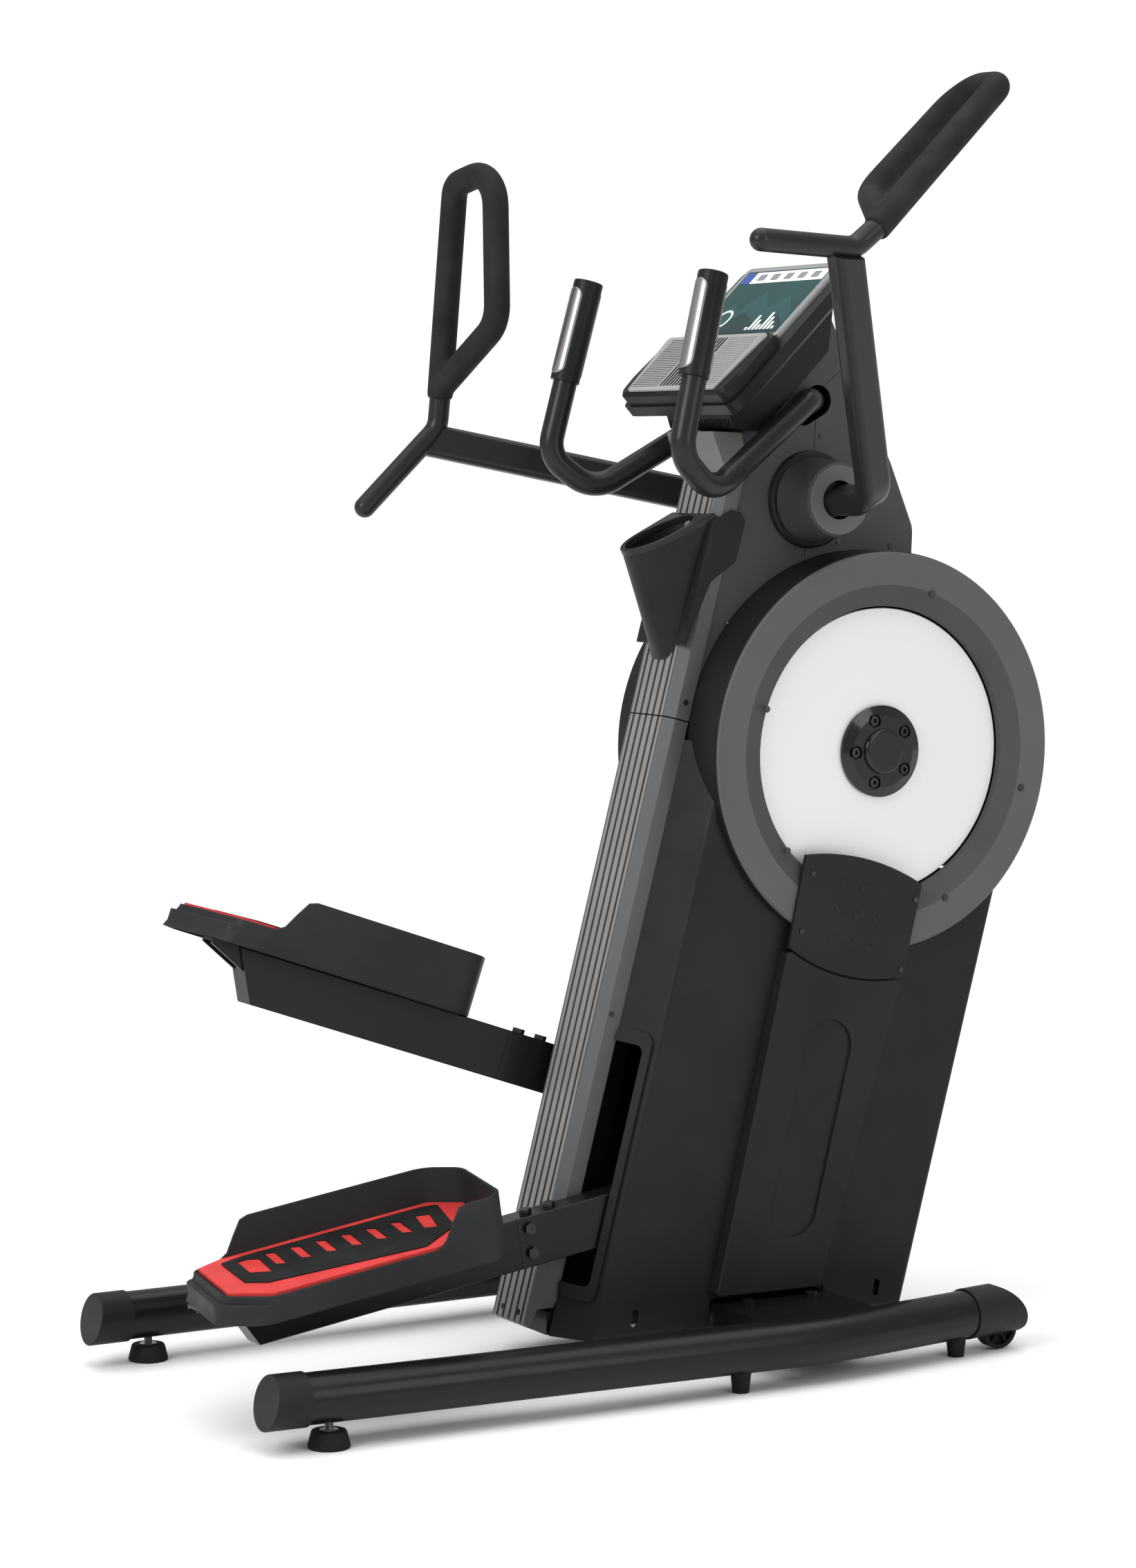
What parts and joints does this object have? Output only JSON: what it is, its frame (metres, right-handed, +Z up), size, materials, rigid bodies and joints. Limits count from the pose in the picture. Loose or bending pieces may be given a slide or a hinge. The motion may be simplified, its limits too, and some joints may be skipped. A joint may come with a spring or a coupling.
{
  "type": "vertical climber machine",
  "caption": "Vertical climber for exercise: rocking pedals and swinging arms driven against each other by a crank in a leaning ribbed column with a console.",
  "frame": {"origin": "on the floor under the middle of the footprint", "axes": "+X to the user's right, +Y the way the user faces, +Z up"},
  "size_m": [0.898, 1.4153, 1.8639],
  "materials": {
    "frame_black": "satin powder coat",
    "plastic_black": "fine moulded texture",
    "plastic_soft": "satin moulding",
    "column_grey": "ribbed satin moulding",
    "ring_grey": "satin slate grey",
    "disc_silver": "satin silver with a fine speckle",
    "hub_gloss": "gloss moulding",
    "gloss_black": "gloss black enamel",
    "foam_black": "closed-cell foam skin",
    "tray_black": "grained moulding",
    "pad_red": "moulded rubber",
    "rubber_black": "moulded rubber",
    "screen_glass": "lit display window",
    "bezel_silver": "satin anodised",
    "panel_grey": "satin moulding",
    "contact_steel": "brushed",
    "steel": "turned and brushed",
    "aluminium": "machined",
    "iron": "cast and machined rim",
    "bolt_black": "black oxide"
  },
  "bodies": {
    "frame": {"base_rails": "frame_black", "rear_caps": "plastic_black", "wheel_housings": "plastic_black", "fixed_feet": "rubber_black", "base_frame": "frame_black", "pivot_axle": "steel", "mast": "frame_black", "column_lower": "column_grey", "column_upper": "column_grey", "bearings": "steel", "arm_shaft": "steel", "brake_unit": "steel", "side_shells": "plastic_black", "link_covers": "plastic_black", "bump_plates": "plastic_soft", "ring_covers": "ring_grey", "upper_shells": "plastic_black", "handlebar": "gloss_black", "pulse_grips": "plastic_soft", "contact_plates": "contact_steel", "console_base": "plastic_soft", "speaker_panel": "panel_grey", "display_bezel": "bezel_silver", "screen": "screen_glass", "console_neck": "column_grey", "cup_holder": "plastic_black", "cup_rim": "gloss_black", "cover_screws": "bolt_black", "power_inlet": "plastic_soft", "drive_belt": "rubber_black"},
    "crank": {"crankshaft": "steel", "drive_pulley": "aluminium", "crank_discs": "disc_silver", "hub_covers": "hub_gloss", "hub_bolts": "bolt_black"},
    "flywheel": {"flywheel": "iron"},
    "pedal_right": {"lever_right": "frame_black", "pedal_arm_right": "frame_black", "tray_right": "tray_black", "pad_right": "pad_red", "lever_bolts_right": "bolt_black"},
    "rod_right": {"rod_right": "steel"},
    "arm_link_right": {"arm_link_right": "steel"},
    "arm_right": {"arm_right": "gloss_black", "arm_grip_right": "foam_black", "arm_hub_right": "plastic_black"},
    "wheel_right": {"transport_wheel_right": "rubber_black"},
    "foot_right": {"levelling_foot_right": "rubber_black"},
    "pedal_left": {"lever_left": "frame_black", "pedal_arm_left": "frame_black", "tray_left": "tray_black", "pad_left": "pad_red", "lever_bolts_left": "bolt_black"},
    "rod_left": {"rod_left": "steel"},
    "arm_link_left": {"arm_link_left": "steel"},
    "arm_left": {"arm_left": "gloss_black", "arm_grip_left": "foam_black", "arm_hub_left": "plastic_black"},
    "wheel_left": {"transport_wheel_left": "rubber_black"},
    "foot_left": {"levelling_foot_left": "rubber_black"}
  },
  "joints": [
    {"name": "crank_turn", "type": "hinge", "parent": "frame", "child": "crank", "pos_m": [0, 0.4, 0.881], "axis": [1, 0, 0], "range_deg": [0, 180]},
    {"name": "flywheel_spin", "type": "hinge", "parent": "frame", "child": "flywheel", "pos_m": [0, 0.265, 0.56], "axis": [1, 0, 0], "range_deg": [0, 1063.7]},
    {"name": "pedal_right_rock", "type": "hinge", "parent": "frame", "child": "pedal_right", "pos_m": [0, 0.332, 0.19], "axis": [1, 0, 0], "range_deg": [-27.6, 0]},
    {"name": "arm_right_swing", "type": "hinge", "parent": "frame", "child": "arm_right", "pos_m": [0, 0.316, 1.2525], "axis": [1, 0, 0], "range_deg": [0, 48.5]},
    {"name": "pedal_left_rock", "type": "hinge", "parent": "frame", "child": "pedal_left", "pos_m": [0, 0.332, 0.19], "axis": [1, 0, 0], "range_deg": [0, 27.6]},
    {"name": "arm_left_swing", "type": "hinge", "parent": "frame", "child": "arm_left", "pos_m": [0, 0.316, 1.2525], "axis": [1, 0, 0], "range_deg": [-48.5, 0]},
    {"name": "rod_right_pin", "type": "hinge", "parent": "crank", "child": "rod_right", "pos_m": [0, 0.3891, 0.84692], "axis": [1, 0, 0], "range_deg": [-180, 0]},
    {"name": "arm_link_right_pin", "type": "hinge", "parent": "crank", "child": "arm_link_right", "pos_m": [0, 0.4014, 0.85103], "axis": [1, 0, 0], "range_deg": [-180, 0]},
    {"name": "wheel_right_spin", "type": "hinge", "parent": "frame", "child": "wheel_right", "pos_m": [0.273, 0.512, 0.0315], "axis": [1, 0, 0], "continuous": true},
    {"name": "foot_right_screw", "type": "slide", "parent": "frame", "child": "foot_right", "axis": [0, 0, 1], "range_m": [-0.004, 0.008]},
    {"name": "rod_left_pin", "type": "hinge", "parent": "crank", "child": "rod_left", "pos_m": [0, 0.4109, 0.91508], "axis": [1, 0, 0], "range_deg": [-180, 0]},
    {"name": "arm_link_left_pin", "type": "hinge", "parent": "crank", "child": "arm_link_left", "pos_m": [0, 0.3986, 0.91097], "axis": [1, 0, 0], "range_deg": [-180, 0]},
    {"name": "wheel_left_spin", "type": "hinge", "parent": "frame", "child": "wheel_left", "pos_m": [-0.273, 0.512, 0.0315], "axis": [1, 0, 0], "continuous": true},
    {"name": "foot_left_screw", "type": "slide", "parent": "frame", "child": "foot_left", "axis": [0, 0, 1], "range_m": [-0.004, 0.008]}
  ],
  "couplings": [
    {"joint": "flywheel_spin", "follows": "crank_turn", "ratio": 5.9091},
    {"joint": "pedal_right_rock", "follows": "crank_turn", "ratio": -0.15333},
    {"joint": "arm_right_swing", "follows": "crank_turn", "ratio": 0.26944},
    {"joint": "pedal_left_rock", "follows": "crank_turn", "ratio": 0.15333},
    {"joint": "arm_left_swing", "follows": "crank_turn", "ratio": -0.26944},
    {"joint": "rod_right_pin", "follows": "crank_turn", "ratio": -1},
    {"joint": "arm_link_right_pin", "follows": "crank_turn", "ratio": -1},
    {"joint": "rod_left_pin", "follows": "crank_turn", "ratio": -1},
    {"joint": "arm_link_left_pin", "follows": "crank_turn", "ratio": -1}
  ]
}
